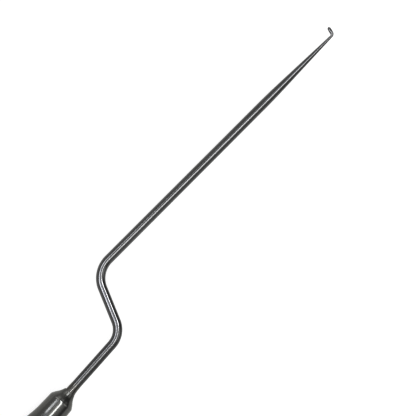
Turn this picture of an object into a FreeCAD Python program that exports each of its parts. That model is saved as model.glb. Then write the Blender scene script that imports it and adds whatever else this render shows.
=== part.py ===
"""Bayonet micro hook: a bent steel rod, ground down to a fine hook, brazed into a hollow round handle.

Tool axes while modelling: X runs along the handle's axis towards the hook, with 0 at the nose's shoulder.
The rod is bent in the XY plane, and Y is the side that it steps out to. Each sub-part is then placed in the
row frame, where the tool lies on a table: Z up, with the origin at the middle of the bottom of its box.
"""

import FreeCAD
import Part
import math
import os
import re
import Sketcher

from FreeCAD import Placement, Rotation, Vector

DIMENSIONS = [
    # The rod, in order from the handle to the hook.
    ("rod_radius", 1.25, "bent part of the rod"),
    ("tang_end", -11.0, "where the rod ends inside the nose"),
    ("tang_chamfer", 0.3, "lead-in on the tang"),
    ("first_bend_along", 24.1, "corner of the first bend, along the handle's axis"),
    ("first_bend_turn", 64.5, "degrees"),
    ("first_bend_radius", 6.0, "of the rod's centre line"),
    ("bend_spacing", 18.4, "corner to corner"),
    ("second_bend_turn", 67.9, "degrees, back the other way"),
    ("second_bend_radius", 7.1, "of the rod's centre line"),
    ("shank_start", 5.2, "second bend's corner to the ground shank"),
    ("shank_length", 89.9, "second bend's corner to the hook's corner"),
    ("shank_end_radius", 1.19, "shank at the corner of its long taper"),
    ("taper_length", 23.4, "long taper, up to the hook's corner"),
    ("taper_blend", 200.0, "curve that leads the shank into its taper"),
    ("wire_radius", 0.31, "hook's bend"),
    ("hook_turn", 75.5, "degrees"),
    ("hook_bend_radius", 0.8, "of the wire's centre line"),
    ("hook_length", 2.43, "hook's corner to the end of its tip"),
    ("belly_at", 1.25, "hook's corner to its thickest place"),
    ("belly_radius", 0.46, "hook at that place"),
    ("belly_blend", 1.5, "round curve there"),
    ("tip_radius", 0.33, "hook at its blunt end"),
    ("tip_round", 0.3, "round on the tip's edge"),
    # The handle's nose, from its mouth backwards.
    ("mouth_at", 3.4, "front face"),
    ("mouth_radius", 1.6, "nose at its front face"),
    ("throat_at", 2.34, "corner between the mouth's flare and the cone"),
    ("throat_radius", 1.94, "nose at that corner"),
    ("throat_blend", 5.6, "hollow curve there"),
    ("cheek_at", 1.15, "corner half way up the cone"),
    ("cheek_radius", 2.9, "nose at that corner"),
    ("cheek_blend", 6.0, "round curve there"),
    ("shoulder_radius", 3.6, "nose at its shoulder"),
    ("shoulder_blend", 1.2, "round on the shoulder"),
    ("waist_at", -5.82, "corner between the finger waist and the flare"),
    ("waist_radius", 3.8, "nose at that corner"),
    ("waist_blend", 27.0, "hollow curve there"),
    ("flare_end_at", -13.4, "corner between the flare and the grip"),
    ("flare_blend", 20.0, "round curve there"),
    ("nose_back", -17.0, "joint between nose and barrel"),
    ("bore_end", -11.6, "bottom of the tang's bore"),
    # The braze that fills the step between the nose's mouth and the rod.
    ("braze_root_radius", 1.54, "fillet at the mouth"),
    ("braze_bend_at", 4.8, "corner of its hollow face"),
    ("braze_blend", 11.0, "hollow curve there"),
    ("braze_end_at", 6.2, "where it runs out along the rod"),
    ("braze_edge", 0.03, "thickness where it runs out"),
    # The hollow barrel.
    ("grip_radius", 5.0, "barrel over its grip"),
    ("barrel_bore", 4.0, "inner radius of the tube"),
    ("tail_at", -84.0, "where the tail's taper starts"),
    ("tail_blend", 60.0, "curve that leads the grip into the tail"),
    ("barrel_back", -106.0, "joint between barrel and end cap"),
    ("tail_radius", 4.65, "tail at that joint"),
    ("ring_at", -81.5, "rearmost ring groove"),
    ("ring_pitch", 1.6, "groove to groove"),
    ("ring_count", 3, "grooves behind the grip"),
    ("ring_depth", 0.3, "depth of a groove"),
    ("ring_half_width", 0.35, "half the width of a groove"),
    # Spigots, end cap and welds.
    ("spigot_length", 8.0, "plug that enters the tube"),
    ("spigot_chamfer", 0.5, "lead-in on each spigot"),
    ("relief_radius", 2.6, "hollow in each spigot"),
    ("relief_depth", 6.0, "depth of that hollow"),
    ("handle_end", -117.5, "flat end of the handle"),
    ("end_radius", 4.45, "cap at its flat end, before the round"),
    ("end_blend", 1.6, "round on the cap's edge"),
    ("weld_depth", 0.35, "depth of each weld's V groove"),
    ("weld_half_width", 0.22, "half the width of that groove"),
]

# Places on the bent rod, as expressions in the sheet's aliases.
SHANK_X = "first_bend_along + bend_spacing * cos(first_bend_turn)"
SHANK_Y = "bend_spacing * sin(first_bend_turn)"
SHANK_HEADING = "first_bend_turn - second_bend_turn"
HOOK_X = f"{SHANK_X} + shank_length * cos({SHANK_HEADING})"
HOOK_Y = f"{SHANK_Y} + shank_length * sin({SHANK_HEADING})"
HOOK_HEADING = f"{SHANK_HEADING} + hook_turn"
HOOK_TANGENT = "hook_bend_radius * tan(hook_turn / 2)"

TOLERANCE = 0.01  # millimetres, when an edge is looked up by its place

doc = FreeCAD.newDocument("bayonet_micro_hook")
sheet = doc.addObject("Spreadsheet::Sheet", "Dims")


def fill_sheet():
    """Writes each driving dimension as a plain number, with its alias and a note beside it."""
    for row, (alias, value, note) in enumerate(DIMENSIONS, start=1):
        sheet.set(f"A{row}", alias)
        sheet.set(f"B{row}", str(value))
        sheet.set(f"C{row}", note)
        sheet.setAlias(f"B{row}", alias)
    doc.recompute()


def size(expression):
    """The value of an expression in the sheet's aliases."""
    value = sheet.evalExpression(expression)
    return float(getattr(value, "Value", value))


def bound(expression):
    """The same expression as other objects write it, with the sheet's name before each alias."""
    aliases = {alias for alias, _, _ in DIMENSIONS}
    return re.sub(r"\w+", lambda word: f"Dims.{word[0]}" if word[0] in aliases else word[0], expression)


def new_body(label):
    """An empty PartDesign body whose Label names its file."""
    body = doc.addObject("PartDesign::Body", label)
    body.Label = label
    return body


def new_sketch(body, name, role, base=("0", "0", "0"), axis=Vector(0, 0, 1), turn="0"):
    """A sketch on one of the body's origin planes, moved by base and turned about axis in that plane's axes."""
    sketch = body.newObject("Sketcher::SketchObject", name)
    plane = next(feature for feature in body.Origin.OriginFeatures if feature.Role == role)
    sketch.AttachmentSupport = [(plane, "")]
    sketch.MapMode = "FlatFace"
    position = Vector(*[size(expression) for expression in base])
    sketch.AttachmentOffset = Placement(position, Rotation(axis, size(turn)))
    for letter, expression in zip("xyz", base):
        if expression != "0":
            sketch.setExpression(f"AttachmentOffset.Base.{letter}", bound(expression))
    if turn != "0":
        sketch.setExpression("AttachmentOffset.Rotation.Angle", bound(turn))
    return sketch


def lengthwise_sketch(body, name, at=("0", "0"), heading="0"):
    """A sketch in the tool's XY plane whose own X axis starts at a point and runs along a heading."""
    return new_sketch(body, name, "XY_Plane", base=(*at, "0"), turn=heading)


def pin_point(sketch, geometry, end, x, y):
    """Fixes a point of a sketch at two expressions."""
    for kind, expression in (("DistanceX", x), ("DistanceY", y)):
        index = sketch.addConstraint(Sketcher.Constraint(kind, -1, 1, geometry, end, size(expression)))
        if expression != "0":
            sketch.setExpression(f"Constraints[{index}]", bound(expression))


def section_sketch(body, name, radius, at=("0", "0"), heading="0", off_centre="0"):
    """A circle square to a heading in the tool's XY plane, to the right of a point of that plane."""
    sketch = new_sketch(body, name, "YZ_Plane", (at[1], "0", at[0]), Vector(0, 1, 0), heading)
    centre = Vector(-size(off_centre), 0, 0)
    circle = sketch.addGeometry(Part.Circle(centre, Vector(0, 0, 1), size(radius)), False)
    pin_point(sketch, circle, 3, f"-({off_centre})", "0")
    index = sketch.addConstraint(Sketcher.Constraint("Radius", circle, size(radius)))
    sketch.setExpression(f"Constraints[{index}]", bound(radius))
    return sketch


def corner_arc(before, corner, after, radius):
    """Centre, first and last point of the arc that rounds a corner, and whether it turns left."""
    inward = (corner - before).normalize()
    outward = (after - corner).normalize()
    turn = math.atan2(inward.cross(outward).z, inward.dot(outward))
    tangent = radius * math.tan(abs(turn) / 2)
    first = corner - inward * tangent
    last = corner + outward * tangent
    centre = first + Vector(-inward.y, inward.x, 0) * math.copysign(radius, turn)
    return centre, first, last, turn > 0


def round_corner(sketch, before, after, arc, corner):
    """Adds one corner's arc, tangent to the edges on each side, and holds the sharp corner where it is."""
    centre, first, last, left = arc
    start, end = (first, last) if left else (last, first)
    start_angle = math.atan2(start.y - centre.y, start.x - centre.x)
    end_angle = math.atan2(end.y - centre.y, end.x - centre.x)
    if end_angle < start_angle:
        end_angle += 2 * math.pi
    x, y, radius = corner
    circle = Part.Circle(centre, Vector(0, 0, 1), size(radius))
    curve = sketch.addGeometry(Part.ArcOfCircle(circle, start_angle, end_angle), False)
    sharp = sketch.addGeometry(Part.Point(Vector(size(x), size(y), 0)), True)
    arrives, leaves = (1, 2) if left else (2, 1)
    sketch.addConstraint(Sketcher.Constraint("Tangent", before, 2, curve, arrives))
    sketch.addConstraint(Sketcher.Constraint("Tangent", curve, leaves, after, 1))
    sketch.addConstraint(Sketcher.Constraint("PointOnObject", sharp, 1, before))
    sketch.addConstraint(Sketcher.Constraint("PointOnObject", sharp, 1, after))
    index = sketch.addConstraint(Sketcher.Constraint("Radius", curve, size(radius)))
    sketch.setExpression(f"Constraints[{index}]", bound(radius))
    pin_point(sketch, sharp, 1, x, y)


def outline(sketch, corners, closed=True):
    """Straight edges through corners (x, y), with a tangent arc at each corner (x, y, radius)."""
    points = [Vector(size(corner[0]), size(corner[1]), 0) for corner in corners]
    count = len(points)
    arcs = {}
    for i, corner in enumerate(corners):
        if len(corner) == 3:
            arcs[i] = corner_arc(points[i - 1], points[i], points[(i + 1) % count], size(corner[2]))
    edges = []
    for i in range(count if closed else count - 1):
        j = (i + 1) % count
        start = arcs[i][2] if i in arcs else points[i]
        end = arcs[j][1] if j in arcs else points[j]
        edges.append(sketch.addGeometry(Part.LineSegment(start, end), False))
    for i, corner in enumerate(corners):
        if i in arcs:
            round_corner(sketch, edges[i - 1], edges[i], arcs[i], corner)
        elif i < len(edges):
            pin_point(sketch, edges[i], 1, corner[0], corner[1])
            if closed or i:
                sketch.addConstraint(Sketcher.Constraint("Coincident", edges[i - 1], 2, edges[i], 1))
        else:
            pin_point(sketch, edges[-1], 2, corner[0], corner[1])


def round_feature(body, kind, name, sketch):
    """Turns a half outline once round its sketch's own X axis, to add metal or to cut it away."""
    feature = body.newObject(kind, name)
    feature.Profile = sketch
    feature.ReferenceAxis = (sketch, ["H_Axis"])
    feature.Angle = 360
    doc.recompute()
    return feature


def add_round(body, name, corners, at=("0", "0"), heading="0"):
    """A turned piece of metal, from a closed half outline along a heading."""
    sketch = lengthwise_sketch(body, f"{name}_outline", at, heading)
    outline(sketch, corners)
    return round_feature(body, "PartDesign::Revolution", name, sketch)


def cut_round(body, name, corners):
    """A turned cut about the handle's axis, from a closed half outline."""
    sketch = lengthwise_sketch(body, f"{name}_outline")
    outline(sketch, corners)
    before = body.Shape.Volume
    feature = round_feature(body, "PartDesign::Groove", name, sketch)
    if body.Shape.Volume >= before:
        raise RuntimeError(f"{name} cuts nothing")
    return feature


def sweep(body, name, section, path):
    """Sweeps a section along every edge of an open path."""
    doc.recompute()
    feature = body.newObject("PartDesign::AdditivePipe", name)
    feature.Profile = section
    feature.Spine = (path, [f"Edge{i + 1}" for i in range(len(path.Shape.Edges))])
    doc.recompute()
    return feature


def make_hook_rod():
    """One bar of steel: tang, two bayonet bends, ground shank, long taper and hook."""
    body = new_body("hook_rod")
    path = lengthwise_sketch(body, "rod_path")
    shank_joint = (
        f"{SHANK_X} + shank_start * cos({SHANK_HEADING})",
        f"{SHANK_Y} + shank_start * sin({SHANK_HEADING})",
    )
    corners = [
        ("tang_end", "0"),
        ("first_bend_along", "0", "first_bend_radius"),
        (SHANK_X, SHANK_Y, "second_bend_radius"),
        shank_joint,
    ]
    outline(path, corners, closed=False)
    section = section_sketch(body, "rod_section", "rod_radius", at=("tang_end", "0"))
    bent = sweep(body, "bent_rod", section, path)

    chamfer = body.newObject("PartDesign::Chamfer", "tang_lead_in")
    chamfer.Base = (bent, [end_edge(bent.Shape, size("tang_end"))])
    chamfer.setExpression("Size", bound("tang_chamfer"))
    doc.recompute()

    add_round(body, "shank", [
        ("shank_start", "0"),
        ("shank_start", "rod_radius"),
        ("shank_length - taper_length", "shank_end_radius", "taper_blend"),
        (f"shank_length - {HOOK_TANGENT}", "wire_radius"),
        (f"shank_length - {HOOK_TANGENT}", "0"),
    ], at=(SHANK_X, SHANK_Y), heading=SHANK_HEADING)
    add_hook_bend(body)
    add_round(body, "hook_tip", [
        (HOOK_TANGENT, "0"),
        (HOOK_TANGENT, "wire_radius"),
        ("belly_at", "belly_radius", "belly_blend"),
        ("hook_length", "tip_radius", "tip_round"),
        ("hook_length", "0"),
    ], at=(HOOK_X, HOOK_Y), heading=HOOK_HEADING)
    return body


def add_hook_bend(body):
    """Turns the wire's round section about the middle of the hook's bend."""
    middle_x = f"{HOOK_X} - {HOOK_TANGENT} * cos({SHANK_HEADING}) - hook_bend_radius * sin({SHANK_HEADING})"
    middle_y = f"{HOOK_Y} - {HOOK_TANGENT} * sin({SHANK_HEADING}) + hook_bend_radius * cos({SHANK_HEADING})"
    section = section_sketch(
        body, "hook_section", "wire_radius", at=(middle_x, middle_y), heading=SHANK_HEADING,
        off_centre="hook_bend_radius",
    )
    bend = body.newObject("PartDesign::Revolution", "hook_bend")
    bend.Profile = section
    bend.ReferenceAxis = (section, ["V_Axis"])
    bend.setExpression("Angle", bound("hook_turn"))
    doc.recompute()


def end_edge(shape, x):
    """Name of the round edge that lies wholly at one x."""
    for index, edge in enumerate(shape.Edges, start=1):
        box = edge.BoundBox
        if abs(box.XMin - x) < TOLERANCE and abs(box.XMax - x) < TOLERANCE:
            return f"Edge{index}"
    raise RuntimeError(f"no edge at x = {x}")


def make_braze_fillet():
    """Ring of braze that fills the step between the nose's mouth and the rod."""
    body = new_body("braze_fillet")
    add_round(body, "fillet", [
        ("mouth_at", "rod_radius"),
        ("mouth_at", "braze_root_radius"),
        ("braze_bend_at", "rod_radius + braze_edge", "braze_blend"),
        ("braze_end_at", "rod_radius + braze_edge"),
        ("braze_end_at", "rod_radius"),
    ])
    return body


def make_nose_ferrule():
    """Turned nose: cone, finger waist and flare, with the tang's bore in front and a spigot behind."""
    body = new_body("nose_ferrule")
    spigot_end = "nose_back - spigot_length"
    add_round(body, "turned_nose", [
        ("mouth_at", "0"),
        ("mouth_at", "mouth_radius"),
        ("throat_at", "throat_radius", "throat_blend"),
        ("cheek_at", "cheek_radius", "cheek_blend"),
        ("0", "shoulder_radius", "shoulder_blend"),
        ("waist_at", "waist_radius", "waist_blend"),
        ("flare_end_at", "grip_radius", "flare_blend"),
        ("nose_back + weld_half_width", "grip_radius"),
        ("nose_back", "grip_radius - weld_depth"),
        ("nose_back", "barrel_bore"),
        (f"{spigot_end} + spigot_chamfer", "barrel_bore"),
        (spigot_end, "barrel_bore - spigot_chamfer"),
        (spigot_end, "0"),
    ])
    cut_round(body, "tang_bore", [
        ("mouth_at", "0"),
        ("mouth_at", "rod_radius"),
        ("bore_end", "rod_radius"),
        ("bore_end", "0"),
    ])
    cut_round(body, "spigot_relief", [
        (spigot_end, "0"),
        (spigot_end, "relief_radius"),
        (f"{spigot_end} + relief_depth", "relief_radius"),
        (f"{spigot_end} + relief_depth", "0"),
    ])
    return body


def make_grip_barrel():
    """Hollow tube with a straight grip, ring grooves behind it and a slim tail."""
    body = new_body("grip_barrel")
    add_round(body, "tube", [
        ("nose_back", "barrel_bore"),
        ("nose_back", "grip_radius - weld_depth"),
        ("nose_back - weld_half_width", "grip_radius"),
        ("tail_at", "grip_radius", "tail_blend"),
        ("barrel_back + weld_half_width", "tail_radius"),
        ("barrel_back", "tail_radius - weld_depth"),
        ("barrel_back", "barrel_bore"),
    ])
    groove = cut_round(body, "ring_groove", [
        ("ring_at + ring_half_width", "grip_radius"),
        ("ring_at", "grip_radius - ring_depth"),
        ("ring_at - ring_half_width", "grip_radius"),
    ])
    pattern = body.newObject("PartDesign::LinearPattern", "ring_grooves")
    pattern.Originals = [groove]
    pattern.Direction = (groove.Profile[0], ["H_Axis"])
    pattern.setExpression("Length", bound("ring_pitch * (ring_count - 1)"))
    pattern.setExpression("Occurrences", bound("ring_count"))
    body.Tip = pattern
    doc.recompute()
    return body


def make_end_cap():
    """Turned plug that closes the tube, with a flat end and a rounded edge."""
    body = new_body("end_cap")
    spigot_end = "barrel_back + spigot_length"
    add_round(body, "turned_cap", [
        (spigot_end, "0"),
        (spigot_end, "barrel_bore - spigot_chamfer"),
        (f"{spigot_end} - spigot_chamfer", "barrel_bore"),
        ("barrel_back", "barrel_bore"),
        ("barrel_back", "tail_radius - weld_depth"),
        ("barrel_back - weld_half_width", "tail_radius"),
        ("handle_end", "end_radius", "end_blend"),
        ("handle_end", "0"),
    ])
    cut_round(body, "cap_relief", [
        (spigot_end, "0"),
        (spigot_end, "relief_radius"),
        (f"{spigot_end} - relief_depth", "relief_radius"),
        (f"{spigot_end} - relief_depth", "0"),
    ])
    return body


def make_weld_ring(label, joint, radius):
    """Ring of weld metal that fills the V groove round a joint, dressed flush."""
    body = new_body(label)
    add_round(body, f"{label}_metal", [
        (f"{joint} - weld_half_width", radius),
        (f"{joint} + weld_half_width", radius),
        (joint, f"{radius} - weld_depth"),
    ])
    return body


def rest_roll():
    """Degrees that the tool rolls about its handle until the rod's second bend touches the table."""
    before = Vector(size("first_bend_along"), 0, 0)
    corner = Vector(size(SHANK_X), size(SHANK_Y), 0)
    after = Vector(size(HOOK_X), size(HOOK_Y), 0)
    centre = corner_arc(before, corner, after, size("second_bend_radius"))[0]
    reach = centre.y + size("second_bend_radius")
    return math.degrees(math.asin(size("grip_radius - rod_radius") / reach))


def lay_on_table(bodies):
    """Gives every body one Placement, so that the resting tool stands on Z = 0 and is centred in X and Y."""
    turned = Placement(Vector(), Rotation(Vector(1, 0, 0), -rest_roll()))
    shapes = []
    for body in bodies:
        shape = body.Shape.copy()
        shape.Placement = turned
        shapes.append(shape)
    box = Part.makeCompound(shapes).optimalBoundingBox(False)
    lift = Vector(-box.Center.x, -box.Center.y, -box.ZMin)
    for body in bodies:
        body.Placement = Placement(lift, turned.Rotation)
    doc.recompute()


def check_document():
    """Stops if any object has failed or is not up to date."""
    for item in doc.Objects:
        if {"Invalid", "Error"} & set(item.State):
            raise RuntimeError(f"{item.Label} is {item.State}")


def export(bodies):
    """Writes one STEP file for each body, and stops at a shape that is not one valid solid."""
    os.makedirs("parts", exist_ok=True)
    for body in bodies:
        shape = body.Shape
        if shape.isNull() or not shape.isValid() or len(shape.Solids) != 1:
            raise RuntimeError(f"{body.Label} is not one valid solid")
        shape.exportStep(f"parts/{body.Label}.step")
        box = shape.optimalBoundingBox(False)
        print(f"{body.Label}: {shape.Volume:.2f} mm3, z {box.ZMin:.3f} to {box.ZMax:.3f}")


fill_sheet()
parts = [
    make_hook_rod(),
    make_braze_fillet(),
    make_nose_ferrule(),
    make_weld_ring("front_weld_ring", "nose_back", "grip_radius"),
    make_grip_barrel(),
    make_weld_ring("rear_weld_ring", "barrel_back", "tail_radius"),
    make_end_cap(),
]
lay_on_table(parts)
check_document()
export(parts)
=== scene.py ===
"""Bayonet micro hook on a pale studio table: detailed meshes, materials, light and camera.

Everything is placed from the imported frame, and every piece stands for one of its nodes."""

import math

import bmesh
import bpy
import numpy as np
from mathutils import Matrix, Vector


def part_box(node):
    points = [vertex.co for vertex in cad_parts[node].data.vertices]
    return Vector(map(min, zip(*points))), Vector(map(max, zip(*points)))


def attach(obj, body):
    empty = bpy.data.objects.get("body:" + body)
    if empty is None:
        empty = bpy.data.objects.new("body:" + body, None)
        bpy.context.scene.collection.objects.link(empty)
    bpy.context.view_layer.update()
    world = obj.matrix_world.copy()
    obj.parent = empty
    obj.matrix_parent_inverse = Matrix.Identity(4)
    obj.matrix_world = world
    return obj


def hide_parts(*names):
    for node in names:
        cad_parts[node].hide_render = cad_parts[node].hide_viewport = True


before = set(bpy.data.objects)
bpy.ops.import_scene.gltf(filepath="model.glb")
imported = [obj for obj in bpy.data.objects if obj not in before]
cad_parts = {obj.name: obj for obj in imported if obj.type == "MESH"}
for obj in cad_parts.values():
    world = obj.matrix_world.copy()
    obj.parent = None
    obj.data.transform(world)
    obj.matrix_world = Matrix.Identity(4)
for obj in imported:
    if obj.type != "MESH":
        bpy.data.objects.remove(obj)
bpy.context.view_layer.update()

MM = 0.001
SMOOTH_ANGLE = 35
AROUND_ROD = 72
AROUND_TURNED = 160
AROUND_BRAZE = 96
AROUND_WELD = 252
KNURL_STARTS = 32
KNURL_STEPS = 6
AROUND_GRIP = KNURL_STARTS * KNURL_STEPS

# Shape of the bent rod, in millimetres and degrees.
ROD_RADIUS = 1.25
TANG_END = -11.0
TANG_CHAMFER = 0.3
FIRST_BEND_AT = 24.1
FIRST_BEND_TURN = 64.5
FIRST_BEND_RADIUS = 6.0
BEND_SPACING = 18.4
SECOND_BEND_TURN = 67.9
SECOND_BEND_RADIUS = 7.1
SHANK_START = 5.2
SHANK_LENGTH = 89.9
SHANK_END_RADIUS = 1.19
TAPER_LENGTH = 23.4
TAPER_BLEND = 200.0
WIRE_RADIUS = 0.31
HOOK_TURN = 75.5
HOOK_BEND_RADIUS = 0.8
HOOK_LENGTH = 2.43
TIP_DOME = 0.46

# The hook's belly: its radius, how far beyond the middle it lies (above 1) and how full it is (below 1).
BELLY_RADIUS = 0.46
BELLY_SKEW = 1.3
BELLY_FULLNESS = 0.7

# How finely the rod's centre line is sampled: steps in its arcs, and millimetres on its straight runs.
FIRST_BEND_STEPS = 36
SECOND_BEND_STEPS = 40
HOOK_BEND_STEPS = 24
DOME_STEPS = 16
ROD_SPACING = 1.0
SHANK_START_SPACING = 0.5
TAPER_SPACING = 0.25
HOOK_SPACING = 0.1
FINE_RUN = 5.0

# Shape of the handle, in millimetres from the nose's shoulder: places along the axis and radii.
MOUTH_AT = 3.4
MOUTH_RADIUS = 1.6
MOUTH_BREAK = 0.05
GRIP_RADIUS = 5.0
BORE_RADIUS = 4.0
RELIEF_RADIUS = 2.6
RELIEF_DEPTH = 6.0
TANG_BORE_END = -11.6
SPIGOT_CHAMFER = 0.5
WELD_DEPTH = 0.35
WELD_HALF_WIDTH = 0.22
WELD_STEPS = 8
KNURL_FRONT = -20.9
KNURL_PITCH = 1.7
KNURL_ROWS = 32
KNURL_BACK = KNURL_FRONT - KNURL_PITCH * KNURL_ROWS
KNURL_DEPTH = 0.24
KNURL_STEEPNESS = 3
RELIEF_GROOVE = 0.7
GROOVE_WALL = 0.14
GROOVE_FLOOR = GRIP_RADIUS - KNURL_DEPTH - 0.03
GROOVE_LIP_BLEND = 0.05
GROOVE_FLOOR_BLEND = 0.1
RING_AT = -81.5
RING_PITCH = 1.6
RING_COUNT = 3
RING_DEPTH = 0.3
RING_HALF_WIDTH = 0.35
RING_LIP_BLEND = 0.08
RING_FLOOR_BLEND = 0.12
TAIL_AT = -84.0
TAIL_BLEND = 60.0
TAIL_RADIUS = 4.65
END_RADIUS = 4.45
END_BLEND = 1.6

# Corners of the nose's outline: place, radius and blend.
NOSE_THROAT = (2.34, 1.94, 5.6)
NOSE_CHEEK = (1.15, 2.9, 6.0)
NOSE_SHOULDER = (0.0, 3.6, 1.2)
NOSE_WAIST = (-5.82, 3.8, 27.0)
NOSE_FLARE = (-13.4, GRIP_RADIUS, 20.0)

# The braze: its radius at the mouth, its thickness at the feathered front edge, the corner of its hollow
# and how far that edge wanders. On its starved side metal is missing: how deep, at which angle, how far
# round, and how quickly it fades out along the rod.
BRAZE_RADIUS = 1.54
BRAZE_FEATHER = 0.03
BRAZE_HOLLOW_AT = 4.8
BRAZE_HOLLOW_BLEND = 11.0
BRAZE_WANDER = 0.22
STARVED_DEPTH = 0.24
STARVED_ANGLE = 0.15
STARVED_SPREAD = 0.45
STARVED_FADE = 2.2

# The weld beads: ripples round a bead, how far each bows back at the middle, and how deep they lie.
WELD_RIPPLES = 42
RIPPLE_BOW = 2.2
RIPPLE_SHARE = 0.8
BEAD_DEPTH = 0.012

# Marks on every steel: how much a scratch brightens, roughens and cuts into it, the scratch's colour,
# and how strong and how deep the bump is.
SCRATCH_BRIGHT = 0.25
SCRATCH_ROUGH = 0.06
SCRATCH_CUT = 0.35
SCRATCH_COLOUR = (0.75, 0.75, 0.74, 1)
BUMP_STRENGTH = 0.35
BUMP_DEPTH = 0.004 * MM

# Steel is rougher and darker where it is brushed. In the knurl's grooves it is rougher, and its colour is
# painted paler there as painted fill light against the shade that falls in them.
BRUSHED_ROUGH = 0.10
BRUSHED_SHADE = 0.82
GROOVE_ROUGH = 0.12
GROOVE_PAINTED_LIGHT = 1.25

# The table: half its side in metres, its paint, its own glow, and the soft light on it in degrees.
TABLE_HALF = 6.0
TABLE_PAINT = (0.24, 0.24, 0.24, 1)
TABLE_GLOW = 0.82
TABLE_LIGHT = 1.2
TABLE_LIGHT_SPREAD = 150

# The room, in radiance: the walls on both sides of the tool, the mirrored table at its far edge and
# how much brighter it is straight below, and the background that the camera sees.
WALL_RIGHT = 0.17
WALL_LEFT = 0.38
MIRRORED_EDGE = 0.52
MIRRORED_RISE = 0.34
BACKGROUND = 0.97

# The soft boxes: metres from the nose's shoulder, and the turn and colour of the first two.
BOX_DISTANCE = 1.0
BOX_TURN = 12.6
BOX_WHITE = (0.965, 0.975, 1.0)

# Glows that the steel mirrors: a direction, the cosines of the angles from it at which the glow has
# faded out and at which it is full, and its radiance. The first is the ceiling.
CEILING = ((0.0, -0.292, 0.956), 0.66, 1.0, 0.34)
GLOWS = (
    ((-0.85, -0.50, 0.15), 0.50, 0.90, 1.2),
    ((0.58, 0.62, 0.53), 0.90, 0.99, 0.5),
    ((0.56, -0.65, 0.51), 0.90, 0.99, 0.5),
)

# The camera's place from the nose's shoulder and the width that it sees there, in metres, and its turn.
CAMERA_AHEAD = 64.81 * MM
CAMERA_BESIDE = 5.10 * MM
CAMERA_HEIGHT = 1.5
CAMERA_WIDTH = 111.42 * MM
CAMERA_TURN = 48.34


def handle_place():
    """The nose's shoulder on the handle's axis, in metres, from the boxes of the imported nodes."""
    low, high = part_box("grip_barrel")
    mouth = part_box("braze_fillet")[0].x
    return Vector((mouth - MOUTH_AT * MM, (low.y + high.y) / 2, (low.z + high.z) / 2))


def along(node, end):
    """Place of a node's front (1) or back (0) end along the handle, in millimetres from the shoulder."""
    return (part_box(node)[end].x - SHOULDER.x) / MM


SHOULDER = handle_place()
NOSE_BACK = (along("front_weld_ring", 0) + along("front_weld_ring", 1)) / 2
NOSE_SPIGOT_END = along("nose_ferrule", 0)
BARREL_BACK = along("grip_barrel", 0)
CAP_SPIGOT_END = along("end_cap", 1)
HANDLE_END = along("end_cap", 0)
BRAZE_END = along("braze_fillet", 1)


# ---------------------------------------------------------------- the rod's centre line

class Path:
    """A flat path of straight runs and arcs, sampled as (x, y, heading, distance), in millimetres
    and radians."""

    def __init__(self, x):
        self.x, self.y, self.heading, self.distance = x, 0.0, 0.0, 0.0
        self.samples = [(self.x, self.y, self.heading, self.distance)]

    def keep(self):
        self.samples.append((self.x, self.y, self.heading, self.distance))

    def straight(self, length, spacing):
        steps = max(1, math.ceil(length / spacing))
        for _ in range(steps):
            self.x += length / steps * math.cos(self.heading)
            self.y += length / steps * math.sin(self.heading)
            self.distance += length / steps
            self.keep()

    def bend(self, radius, turn, steps):
        side = math.copysign(radius, turn)
        for _ in range(steps):
            before = self.heading
            self.heading += turn / steps
            self.x += side * (math.sin(self.heading) - math.sin(before))
            self.y += side * (math.cos(before) - math.cos(self.heading))
            self.distance += radius * abs(turn) / steps
            self.keep()


def tangent_length(radius, turn):
    """Distance from a corner to where its arc starts."""
    return radius * math.tan(math.radians(abs(turn)) / 2)


def rod_path():
    """The rod's centre line from tang to hook tip, and the distances at which its section changes."""
    first = tangent_length(FIRST_BEND_RADIUS, FIRST_BEND_TURN)
    second = tangent_length(SECOND_BEND_RADIUS, SECOND_BEND_TURN)
    hook = tangent_length(HOOK_BEND_RADIUS, HOOK_TURN)
    path = Path(TANG_END)
    path.straight(TANG_CHAMFER, TANG_CHAMFER)
    path.straight(FIRST_BEND_AT - TANG_END - TANG_CHAMFER - first, ROD_SPACING)
    path.bend(FIRST_BEND_RADIUS, math.radians(FIRST_BEND_TURN), FIRST_BEND_STEPS)
    path.straight(BEND_SPACING - first - second, ROD_SPACING)
    path.bend(SECOND_BEND_RADIUS, -math.radians(SECOND_BEND_TURN), SECOND_BEND_STEPS)
    corner = path.distance - second
    path.straight(SHANK_START - second, SHANK_START_SPACING)
    path.straight(SHANK_LENGTH - TAPER_LENGTH - FINE_RUN - SHANK_START, ROD_SPACING)
    path.straight(FINE_RUN + TAPER_LENGTH - hook, TAPER_SPACING)
    bend_start = path.distance
    path.bend(HOOK_BEND_RADIUS, math.radians(HOOK_TURN), HOOK_BEND_STEPS)
    limb_end = path.distance + HOOK_LENGTH - hook
    path.straight(HOOK_LENGTH - hook - TIP_DOME, HOOK_SPACING)
    for step in range(1, DOME_STEPS + 1):
        dome = limb_end - TIP_DOME * (1 - math.sin(math.pi / 2 * step / DOME_STEPS))
        path.straight(dome - path.distance, ROD_SPACING)
    places = {
        "shank": corner + SHANK_START,
        "taper": corner + SHANK_LENGTH - TAPER_LENGTH,
        "bend": bend_start,
        "end": limb_end,
    }
    return path, places


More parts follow.
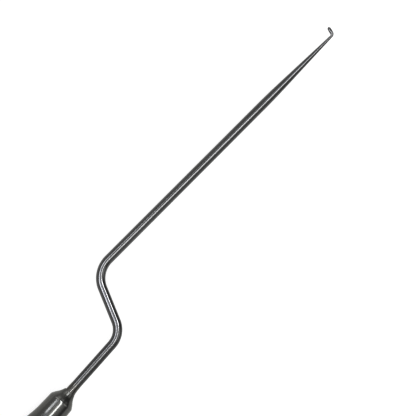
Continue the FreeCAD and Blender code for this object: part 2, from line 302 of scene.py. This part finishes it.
def rod_radius(distance, places):
    """Radius of the rod at a distance along its centre line."""
    if distance < TANG_CHAMFER:
        return ROD_RADIUS - TANG_CHAMFER + distance
    if distance < places["shank"]:
        return ROD_RADIUS
    if distance < places["bend"]:
        shank_slope = (SHANK_END_RADIUS - ROD_RADIUS) / (places["taper"] - places["shank"])
        taper_slope = (WIRE_RADIUS - SHANK_END_RADIUS) / (places["bend"] - places["taper"])
        offset = distance - places["taper"]
        slope = shank_slope if offset < 0 else taper_slope
        reach = TAPER_BLEND * (shank_slope - taper_slope) / 2
        rounding = max(0.0, reach - abs(offset)) ** 2 / (2 * TAPER_BLEND)
        return SHANK_END_RADIUS + slope * offset - rounding
    share = min(1.0, (distance - places["bend"]) / (places["end"] - places["bend"]))
    belly = math.sin(math.pi * share ** BELLY_SKEW) ** BELLY_FULLNESS
    radius = WIRE_RADIUS + (BELLY_RADIUS - WIRE_RADIUS) * belly
    left = places["end"] - distance
    if left < TIP_DOME:
        radius *= math.sqrt(max(0.0, 1 - (1 - left / TIP_DOME) ** 2))
    return radius


ROD_PATH, ROD_PLACES = rod_path()
REACH = max(sample[1] for sample in ROD_PATH.samples)
ROLL = math.asin((SHOULDER.z / MM - ROD_RADIUS) / REACH)


# ---------------------------------------------------------------- meshes

def to_row(points):
    """Tool millimetres, bayonet in the XY plane, to row metres, with the second bend on the table."""
    turned = np.array(Matrix.Rotation(-ROLL, 3, "X"))
    return points @ turned.T * MM + np.array(SHOULDER)


def make_piece(name, points, faces, flow, relief=None):
    """A mesh object in the row frame, with the distances along and round its surface for its material."""
    mesh = bpy.data.meshes.new(name)
    mesh.from_pydata(to_row(np.asarray(points, float)).tolist(), [], faces)
    outward = bmesh.new()
    outward.from_mesh(mesh)
    bmesh.ops.recalc_face_normals(outward, faces=outward.faces)
    outward.to_mesh(mesh)
    outward.free()
    lines = mesh.attributes.new("flow", "FLOAT_VECTOR", "POINT")
    lines.data.foreach_set("vector", np.asarray(flow, np.float32).ravel())
    if relief is not None:
        height = mesh.attributes.new("relief", "FLOAT", "POINT")
        height.data.foreach_set("value", np.asarray(relief, np.float32))
    mesh.polygons.foreach_set("use_smooth", [True] * len(mesh.polygons))
    mesh.set_sharp_from_angle(angle=math.radians(SMOOTH_ANGLE))
    mesh.validate()
    piece = bpy.data.objects.new(name, mesh)
    bpy.context.scene.collection.objects.link(piece)
    return piece


def ring_faces(first, second, count):
    """Faces between two rings of vertices, where a ring is a start index and a size of count or 1."""
    (a, size_a), (b, size_b) = first, second
    faces = []
    for i in range(count):
        j = (i + 1) % count
        if size_a == 1:
            faces.append((a, b + i, b + j))
        elif size_b == 1:
            faces.append((a + i, b, a + j))
        else:
            faces.append((a + i, b + i, b + j, a + j))
    return faces


def rounded(corners, steps):
    """Points of an outline through corners (x, r), with an arc at each corner (x, r, blend)."""
    points = []
    for i, corner in enumerate(corners):
        here = Vector(corner[:2])
        if len(corner) == 2:
            points.append(here)
            continue
        inward = (here - Vector(corners[i - 1][:2])).normalized()
        outward = (Vector(corners[i + 1][:2]) - here).normalized()
        turn = math.atan2(inward.x * outward.y - inward.y * outward.x, inward.dot(outward))
        start = here - inward * corner[2] * math.tan(abs(turn) / 2)
        spoke = Vector((inward.y, -inward.x)) * math.copysign(corner[2], turn)
        for step in range(steps + 1):
            points.append(start - spoke + Matrix.Rotation(turn * step / steps, 2) @ spoke)
    return points


def turned_piece(name, outline, around=AROUND_TURNED, shape=None, relief=None):
    """A turned solid from the outline of its half section. shape(x, r, angle) may move a point, and
    relief(x, angle) from 0 to 1 says how high the surface stands, for the material."""
    angles = np.arange(around) * 2 * math.pi / around
    points, flow, heights, rings = [], [], [], []
    distance = 0.0
    for i, place in enumerate(outline):
        if i:
            distance += (place - outline[i - 1]).length
        on_axis = place.y < 1e-9
        rings.append((len(points), 1 if on_axis else around))
        for angle in angles[:1] if on_axis else angles:
            x, r = shape(place.x, place.y, angle) if shape else place
            points.append((x, r * math.cos(angle), r * math.sin(angle)))
            flow.append((distance, GRIP_RADIUS * math.cos(angle), GRIP_RADIUS * math.sin(angle)))
            heights.append(relief(place.x, angle) if relief else 1.0)
    pairs = list(zip(rings, rings[1:]))
    if rings[0][1] > 1:
        pairs.append((rings[-1], rings[0]))
    faces = []
    for first, second in pairs:
        faces += ring_faces(first, second, around)
    if relief:
        faces = split_faces(faces, heights)
    return make_piece(name, points, faces, flow, heights if relief else None)


def split_faces(faces, heights):
    """Splits each four-sided face with uneven heights along its more level diagonal."""
    split = []
    for face in faces:
        if len(face) == 3 or len({round(heights[corner], 4) for corner in face}) == 1:
            split.append(face)
            continue
        a, b, c, d = face
        if abs(heights[a] - heights[c]) <= abs(heights[b] - heights[d]):
            split += [(a, b, c), (a, c, d)]
        else:
            split += [(a, b, d), (b, c, d)]
    return split


def make_rod():
    """The bent and tapered rod with its hook, swept along the centre line."""
    angles = np.arange(AROUND_ROD) * 2 * math.pi / AROUND_ROD
    points, flow, rings = [], [], []
    start = ROD_PATH.samples[0]
    rings.append((0, 1))
    points.append((start[0], start[1], 0.0))
    flow.append((0.0, 0.0, 0.0))
    for x, y, heading, distance in ROD_PATH.samples:
        radius = rod_radius(distance, ROD_PLACES)
        on_axis = radius < 1e-4
        rings.append((len(points), 1 if on_axis else AROUND_ROD))
        for angle in angles[:1] if on_axis else angles:
            out = radius * math.cos(angle)
            up = radius * math.sin(angle)
            points.append((x - out * math.sin(heading), y + out * math.cos(heading), up))
            flow.append((distance, ROD_RADIUS * math.cos(angle), ROD_RADIUS * math.sin(angle)))
    faces = []
    for first, second in zip(rings, rings[1:]):
        faces += ring_faces(first, second, AROUND_ROD)
    return make_piece("rod_with_hook", points, faces, flow)


# ---------------------------------------------------------------- the handle's pieces

def make_nose():
    """The turned nose, with a small break on its front edge and a crisp shoulder."""
    outline = rounded([
        (TANG_BORE_END, 0.0),
        (TANG_BORE_END, ROD_RADIUS),
        (MOUTH_AT, ROD_RADIUS),
        (MOUTH_AT, MOUTH_RADIUS, MOUTH_BREAK),
        NOSE_THROAT,
        NOSE_CHEEK,
        NOSE_SHOULDER,
        NOSE_WAIST,
        NOSE_FLARE,
        (NOSE_BACK + WELD_HALF_WIDTH, GRIP_RADIUS),
        (NOSE_BACK, GRIP_RADIUS - WELD_DEPTH),
        (NOSE_BACK, BORE_RADIUS),
        (NOSE_SPIGOT_END + SPIGOT_CHAMFER, BORE_RADIUS),
        (NOSE_SPIGOT_END, BORE_RADIUS - SPIGOT_CHAMFER),
        (NOSE_SPIGOT_END, RELIEF_RADIUS),
        (NOSE_SPIGOT_END + RELIEF_DEPTH, RELIEF_RADIUS),
        (NOSE_SPIGOT_END + RELIEF_DEPTH, 0.0),
    ], steps=12)
    return turned_piece("turned_nose", outline)


def make_braze():
    """Braze drawn into the step by hand: an uneven front edge, and one side not quite filled."""
    outline = rounded([
        (MOUTH_AT, ROD_RADIUS),
        (MOUTH_AT, BRAZE_RADIUS),
        (BRAZE_HOLLOW_AT, ROD_RADIUS + BRAZE_FEATHER, BRAZE_HOLLOW_BLEND),
        (BRAZE_END, ROD_RADIUS + BRAZE_FEATHER),
        (BRAZE_END, ROD_RADIUS),
    ], steps=14)

    def uneven(x, r, angle):
        share = (x - MOUTH_AT) / (BRAZE_END - MOUTH_AT)
        wave = 0.5 * math.sin(2 * angle + 0.8)
        wave += 0.3 * math.sin(3 * angle + 2.1)
        wave += 0.2 * math.sin(7 * angle)
        side = math.remainder(angle - STARVED_ANGLE, 2 * math.pi)
        fading = max(0.0, 1 - share * STARVED_FADE)
        starved = STARVED_DEPTH * math.exp(-(side / STARVED_SPREAD) ** 2) * fading
        thick = max(0.0, r - ROD_RADIUS - starved * (r > ROD_RADIUS + 1e-6))
        return x - BRAZE_WANDER * share * (1 + wave) / 2, ROD_RADIUS + thick

    return turned_piece("braze_ring", outline, around=AROUND_BRAZE, shape=uneven)


def make_weld(name, joint, radius):
    """Weld metal in its V groove, dressed almost flush, with the overlapping ripples of the bead."""
    outline = [Vector((joint, radius - WELD_DEPTH))]
    for step in range(WELD_STEPS + 1):
        outline.append(Vector((joint + WELD_HALF_WIDTH * (1 - 2 * step / WELD_STEPS), radius)))

    def rippled(x, r, angle):
        if r < radius:
            return x, r
        share = (x - joint) / WELD_HALF_WIDTH
        bead = 1 - share * share
        ripple = math.sin(WELD_RIPPLES * angle + RIPPLE_BOW * share * share)
        return x, r - BEAD_DEPTH * bead * (1 + RIPPLE_SHARE * ripple)

    return turned_piece(name, outline, around=AROUND_WELD, shape=rippled)


def knurl_height(x, angle):
    """How high the diamond knurl stands at a point, from 0 in its grooves to 1 on its flat tops."""
    if not KNURL_BACK - 1e-6 <= x <= KNURL_FRONT + 1e-6:
        return 1.0
    turns = KNURL_STARTS * angle / (2 * math.pi)
    run = (x - KNURL_FRONT) / KNURL_PITCH
    nearest = min(abs(turn - round(turn)) for turn in (turns + run, turns - run))
    return min(1.0, nearest * KNURL_STEEPNESS)


def knurled(x, r, angle):
    """Sinks a point of the barrel's outer surface into the grooves of the knurl."""
    on_knurl = r > BORE_RADIUS and r > GRIP_RADIUS - 1e-6
    return x, r - KNURL_DEPTH * (1 - knurl_height(x, angle)) * on_knurl


def make_barrel():
    """The hollow barrel: diamond knurl between two relief grooves, ring grooves and a slim tail."""
    front = rounded([
        (NOSE_BACK, BORE_RADIUS),
        (NOSE_BACK, GRIP_RADIUS - WELD_DEPTH),
        (NOSE_BACK - WELD_HALF_WIDTH, GRIP_RADIUS),
        (KNURL_FRONT + RELIEF_GROOVE + GROOVE_WALL, GRIP_RADIUS, GROOVE_LIP_BLEND),
        (KNURL_FRONT + RELIEF_GROOVE, GROOVE_FLOOR, GROOVE_FLOOR_BLEND),
        (KNURL_FRONT + GROOVE_WALL, GROOVE_FLOOR, GROOVE_LIP_BLEND),
        (KNURL_FRONT, GRIP_RADIUS),
    ], steps=5)
    knurl = []
    for row in range(1, KNURL_ROWS * KNURL_STEPS + 1):
        knurl.append(Vector((KNURL_FRONT - KNURL_PITCH * row / KNURL_STEPS, GRIP_RADIUS)))
    corners = [
        (KNURL_BACK, GRIP_RADIUS),
        (KNURL_BACK - GROOVE_WALL, GROOVE_FLOOR, GROOVE_LIP_BLEND),
        (KNURL_BACK - RELIEF_GROOVE, GROOVE_FLOOR, GROOVE_FLOOR_BLEND),
        (KNURL_BACK - RELIEF_GROOVE - GROOVE_WALL, GRIP_RADIUS, GROOVE_LIP_BLEND),
    ]
    for ring in reversed(range(RING_COUNT)):
        middle = RING_AT + RING_PITCH * ring
        corners += [
            (middle + RING_HALF_WIDTH, GRIP_RADIUS, RING_LIP_BLEND),
            (middle, GRIP_RADIUS - RING_DEPTH, RING_FLOOR_BLEND),
            (middle - RING_HALF_WIDTH, GRIP_RADIUS, RING_LIP_BLEND),
        ]
    corners += [
        (TAIL_AT, GRIP_RADIUS, TAIL_BLEND),
        (BARREL_BACK + WELD_HALF_WIDTH, TAIL_RADIUS),
        (BARREL_BACK, TAIL_RADIUS - WELD_DEPTH),
        (BARREL_BACK, BORE_RADIUS),
    ]
    tail = rounded(corners, steps=5)[1:]
    return turned_piece("knurled_barrel", front + knurl + tail, AROUND_GRIP, knurled, knurl_height)


def make_cap():
    """The turned cap, with a rounded edge round its flat end."""
    outline = rounded([
        (CAP_SPIGOT_END - RELIEF_DEPTH, 0.0),
        (CAP_SPIGOT_END - RELIEF_DEPTH, RELIEF_RADIUS),
        (CAP_SPIGOT_END, RELIEF_RADIUS),
        (CAP_SPIGOT_END, BORE_RADIUS - SPIGOT_CHAMFER),
        (CAP_SPIGOT_END - SPIGOT_CHAMFER, BORE_RADIUS),
        (BARREL_BACK, BORE_RADIUS),
        (BARREL_BACK, TAIL_RADIUS - WELD_DEPTH),
        (BARREL_BACK - WELD_HALF_WIDTH, TAIL_RADIUS),
        (HANDLE_END, END_RADIUS, END_BLEND),
        (HANDLE_END, 0.0),
    ], steps=16)
    return turned_piece("rounded_cap", outline)


# ---------------------------------------------------------------- materials

class Nodes:
    """The node tree of a material or world. node() makes a node, links the inputs that are sockets
    and sets the rest."""

    def __init__(self, owner):
        owner.use_nodes = True
        self.tree = owner.node_tree
        self.tree.nodes.clear()

    def node(self, kind, inputs=None, **settings):
        made = self.tree.nodes.new(kind)
        for key, value in settings.items():
            setattr(made, key, value)
        for key, value in (inputs or {}).items():
            if isinstance(value, bpy.types.NodeSocket):
                self.tree.links.new(value, made.inputs[key])
            else:
                made.inputs[key].default_value = value
        return made

    def flow(self, lengthwise, crosswise, offset=0.0):
        """Places on the surface in millimetres, scaled along and round the piece."""
        lines = self.node("ShaderNodeAttribute", attribute_name="flow")
        scaled = self.node("ShaderNodeVectorMath", {
            0: lines.outputs["Vector"],
            1: (lengthwise, crosswise, crosswise),
            2: (offset, offset, offset),
        }, operation="MULTIPLY_ADD")
        return scaled.outputs[0]

    def noise(self, vector, detail, roughness=0.6):
        made = self.node("ShaderNodeTexNoise", {
            "Vector": vector,
            "Scale": 1.0,
            "Detail": detail,
            "Roughness": roughness,
        })
        return made.outputs["Fac"]

    def remap(self, value, low, high, to_low, to_high, curve="LINEAR"):
        made = self.node("ShaderNodeMapRange", {
            "Value": value,
            "From Min": low,
            "From Max": high,
            "To Min": to_low,
            "To Max": to_high,
        }, interpolation_type=curve)
        return made.outputs["Result"]

    def math(self, operation, a, b):
        return self.node("ShaderNodeMath", {0: a, 1: b}, operation=operation).outputs[0]

    def add(self, a, b):
        return self.math("ADD", a, b)

    def mix(self, factor, a, b, blend="MIX"):
        made = self.node("ShaderNodeMix", {0: factor, 6: a, 7: b}, data_type="RGBA", blend_type=blend)
        return made.outputs[2]

    def glow(self, view, direction, edge, middle, radiance):
        """A soft round glow in the world, seen where view is near direction."""
        towards = self.node("ShaderNodeVectorMath", {0: view, 1: direction}, operation="DOT_PRODUCT")
        return self.remap(towards.outputs["Value"], edge, middle, 0.0, radiance, "SMOOTHSTEP")


def steel(name, dark, light, roughness, line_gap, groove, scratches=1.0, relief=False, brushed=None):
    """Satin stainless steel: lines cut round the piece, a few long handling scratches and cloudy polish.
    dark and light are its tones, and line_gap is in millimetres. brushed gives two distances along the
    piece in millimetres: it is brushed up to the first, and the change ends at the second. relief is for
    a piece that has the knurl."""
    material = bpy.data.materials.new(name)
    nodes = Nodes(material)
    lines = nodes.noise(nodes.flow(1 / line_gap, 0.35), detail=4.0, roughness=0.7)
    bands = nodes.noise(nodes.flow(1.1, 0.25, 7.0), detail=2.0)
    cloud = nodes.noise(nodes.flow(0.16, 0.5, 3.0), detail=4.0, roughness=0.55)
    marks = nodes.noise(nodes.flow(0.22, 9.0, 11.0), detail=5.0, roughness=0.7)
    scratch = nodes.remap(marks, 0.62, 0.72, 0.0, 1.0)

    tone = nodes.add(nodes.math("MULTIPLY", cloud, 0.7), nodes.math("MULTIPLY", lines, 0.3))
    colour = nodes.mix(nodes.remap(tone, 0.35, 0.65, 0.0, 1.0), (*dark, 1), (*light, 1))
    bright = nodes.math("MULTIPLY", scratch, SCRATCH_BRIGHT * scratches)
    colour = nodes.mix(bright, colour, SCRATCH_COLOUR)
    spread = nodes.add(nodes.math("MULTIPLY", lines, 0.5), nodes.math("MULTIPLY", bands, 0.5))
    rough = nodes.remap(spread, 0.3, 0.7, roughness[0], roughness[1])
    rough = nodes.add(rough, nodes.math("MULTIPLY", scratch, SCRATCH_ROUGH * scratches))
    if brushed:
        distance = nodes.node("ShaderNodeSeparateXYZ", {0: nodes.flow(1.0, 1.0)}).outputs["X"]
        rough = nodes.add(rough, nodes.remap(distance, *brushed, BRUSHED_ROUGH, 0.0))
        shade = nodes.remap(distance, *brushed, BRUSHED_SHADE, 1.0)
        colour = nodes.mix(1.0, colour, shade, blend="MULTIPLY")
    cut = nodes.math("MULTIPLY", scratch, SCRATCH_CUT * scratches)
    if relief:
        raised = nodes.node("ShaderNodeAttribute", attribute_name="relief").outputs["Fac"]
        # The knurl's grooves get a paler colour: painted light that offsets the shade in them, full in the
        # grooves and gone on the flat tops.
        groove_painted_light_mask = nodes.remap(raised, 0.15, 1.0, 0.0, 1.0)
        colour = nodes.mix(groove_painted_light_mask, (*[GROOVE_PAINTED_LIGHT * c for c in dark], 1), colour)
        rough = nodes.add(rough, nodes.remap(raised, 0.0, 1.0, GROOVE_ROUGH, 0.0))
    bump = nodes.node("ShaderNodeBump", {
        "Height": nodes.math("SUBTRACT", lines, cut),
        "Strength": BUMP_STRENGTH * groove,
        "Distance": BUMP_DEPTH,
    })
    surface = nodes.node("ShaderNodeBsdfPrincipled", {
        "Base Color": colour,
        "Roughness": rough,
        "Normal": bump.outputs["Normal"],
        "Metallic": 1.0,
    })
    nodes.node("ShaderNodeOutputMaterial", {"Surface": surface.outputs["BSDF"]})
    return material


def dress(piece, material, node):
    """Gives a piece its material, puts it under the root body and hides the imported node that it stands
    for.
    """
    piece.data.materials.append(material)
    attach(piece, "root")
    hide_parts(node)


# ---------------------------------------------------------------- studio

def area_light(name, ahead, beside, length, width, turn, radiance, colour):
    """A rectangular light over the nose's shoulder. ahead and beside say how far it leans from straight
    up, towards the hook and towards the side that the rod steps out to; length, width and turn are its
    own, as it faces the shoulder. All angles are in degrees."""
    lean = Vector((math.tan(math.radians(ahead)), math.tan(math.radians(beside)), 1.0)).normalized()
    sizes = [2 * BOX_DISTANCE * math.tan(math.radians(angle) / 2) for angle in (length, width)]
    data = bpy.data.lights.new(name, "AREA")
    data.shape = "RECTANGLE"
    data.size, data.size_y = sizes
    data.energy = radiance * math.pi * sizes[0] * sizes[1]
    data.color = colour
    lamp = bpy.data.objects.new(name, data)
    bpy.context.scene.collection.objects.link(lamp)
    across = lean.cross(Matrix.Rotation(math.radians(turn), 3, "Z") @ Vector((1, 0, 0))).normalized()
    facing = Matrix((across.cross(lean), across, lean)).transposed()
    lamp.matrix_world = Matrix.Translation(SHOULDER + lean * BOX_DISTANCE) @ facing.to_4x4()
    lamp.visible_camera = False


def make_floor():
    """A large pale table. It isn't reflected in the steel, as if the tool lay in a light well."""
    mesh = bpy.data.meshes.new("studio_floor")
    half = TABLE_HALF
    corners = [(-half, -half, 0), (half, -half, 0), (half, half, 0), (-half, half, 0)]
    mesh.from_pydata(corners, [], [(0, 1, 2, 3)])
    floor = bpy.data.objects.new("studio_floor", mesh)
    bpy.context.scene.collection.objects.link(floor)
    material = bpy.data.materials.new("floor_paint")
    nodes = Nodes(material)
    paint = nodes.node("ShaderNodeBsdfDiffuse", {"Color": TABLE_PAINT})
    glow = nodes.node("ShaderNodeEmission", {"Color": (1, 1, 1, 1), "Strength": TABLE_GLOW})
    surface = nodes.node("ShaderNodeAddShader", {0: paint.outputs[0], 1: glow.outputs[0]})
    nodes.node("ShaderNodeOutputMaterial", {"Surface": surface.outputs[0]})
    mesh.materials.append(material)
    floor.visible_glossy = False


def make_table_light():
    """A very soft light for the table, which the steel doesn't mirror."""
    data = bpy.data.lights.new("table_light", "SUN")
    data.energy = TABLE_LIGHT
    data.angle = math.radians(TABLE_LIGHT_SPREAD)
    lamp = bpy.data.objects.new("table_light", data)
    bpy.context.scene.collection.objects.link(lamp)
    lamp.visible_glossy = False


def make_world():
    """What the steel mirrors: dim walls, darker on the tool's right, a soft ceiling, a pale table whose
    far edge drops ahead of the tool, and glows behind and in front. The camera sees only near-white."""
    world = bpy.data.worlds.new("studio")
    nodes = Nodes(world)
    view = nodes.node("ShaderNodeTexCoord").outputs["Generated"]
    axes = nodes.node("ShaderNodeSeparateXYZ", {0: view})
    ahead, beside, up = (axes.outputs[letter] for letter in "XYZ")
    walls = nodes.remap(beside, -0.45, 0.5, WALL_RIGHT, WALL_LEFT, "SMOOTHSTEP")
    room = nodes.add(walls, nodes.glow(view, *CEILING))
    depth = nodes.math("POWER", nodes.remap(up, 0.0, -1.0, 0.0, 1.0), 3.0)
    table = nodes.add(nodes.math("MULTIPLY", depth, MIRRORED_RISE), MIRRORED_EDGE)
    drop = nodes.math("POWER", nodes.remap(ahead, 0.0, 1.0, 0.0, 0.775), 2.0)
    below = nodes.remap(nodes.add(up, drop), 0.28, -0.02, 0.0, 1.0, "SMOOTHSTEP")
    mirrored = nodes.node("ShaderNodeMix", {0: below, 2: room, 3: table}).outputs[0]
    for glow in GLOWS:
        mirrored = nodes.add(mirrored, nodes.glow(view, *glow))
    ray = nodes.node("ShaderNodeLightPath")
    seen = nodes.node("ShaderNodeMix", {0: ray.outputs["Is Camera Ray"], 2: mirrored, 3: BACKGROUND})
    back = nodes.node("ShaderNodeBackground", {"Strength": seen.outputs[0]})
    nodes.node("ShaderNodeOutputWorld", {"Surface": back.outputs[0]})
    bpy.context.scene.world = world


def make_camera():
    """Straight above the rod, turned so that the tool runs up to the right, with its nose in the corner."""
    data = bpy.data.cameras.new("camera")
    data.lens = data.sensor_width * CAMERA_HEIGHT / CAMERA_WIDTH
    data.clip_end = 50.0
    camera = bpy.data.objects.new("camera", data)
    bpy.context.scene.collection.objects.link(camera)
    camera.location = SHOULDER + Vector((CAMERA_AHEAD, CAMERA_BESIDE, CAMERA_HEIGHT))
    camera.rotation_euler = (0.0, 0.0, -math.radians(CAMERA_TURN))
    bpy.context.scene.camera = camera


bpy.context.scene.view_settings.view_transform = "Standard"
bpy.context.scene.view_settings.gamma = 0.55

rod_steel = steel(
    "rod_steel", dark=(0.53, 0.528, 0.522), light=(0.64, 0.64, 0.638), roughness=(0.11, 0.17),
    line_gap=0.07, groove=1.0, brushed=(30.0, 40.0),
)
nose_steel = steel(
    "turned_steel", dark=(0.54, 0.54, 0.515), light=(0.64, 0.64, 0.62), roughness=(0.15, 0.24),
    line_gap=0.05, groove=0.7, scratches=0.8, brushed=(17.0, 18.8),
)
grip_steel = steel(
    "grip_steel", dark=(0.58, 0.58, 0.56), light=(0.68, 0.68, 0.66), roughness=(0.22, 0.32),
    line_gap=0.06, groove=0.8, scratches=0.6, relief=True,
)
weld_steel = steel(
    "weld_steel", dark=(0.44, 0.43, 0.40), light=(0.56, 0.55, 0.52), roughness=(0.30, 0.42),
    line_gap=0.12, groove=1.2, scratches=0.2,
)
braze = steel(
    "braze", dark=(0.46, 0.45, 0.43), light=(0.60, 0.59, 0.56), roughness=(0.16, 0.26),
    line_gap=0.30, groove=1.2, scratches=0.2,
)

dress(make_rod(), rod_steel, "hook_rod")
dress(make_braze(), braze, "braze_fillet")
dress(make_nose(), nose_steel, "nose_ferrule")
dress(make_weld("front_weld", NOSE_BACK, GRIP_RADIUS), weld_steel, "front_weld_ring")
dress(make_barrel(), grip_steel, "grip_barrel")
dress(make_weld("rear_weld", BARREL_BACK, TAIL_RADIUS), weld_steel, "rear_weld_ring")
dress(make_cap(), nose_steel, "end_cap")

make_floor()
make_table_light()
make_world()
area_light(
    "strip", ahead=-3.0, beside=-11.0, length=76.0, width=12.0, turn=BOX_TURN,
    radiance=1.9, colour=BOX_WHITE,
)
area_light(
    "front_box", ahead=44.0, beside=-1.0, length=20.0, width=18.0, turn=BOX_TURN,
    radiance=2.3, colour=BOX_WHITE,
)
area_light(
    "left_box", ahead=-12.0, beside=36.0, length=24.0, width=18.0, turn=0.0,
    radiance=1.55, colour=(0.92, 0.94, 1.0),
)
area_light(
    "sky_card", ahead=15.0, beside=21.0, length=16.0, width=14.0, turn=0.0,
    radiance=0.45, colour=(0.80, 0.83, 1.0),
)
make_camera()
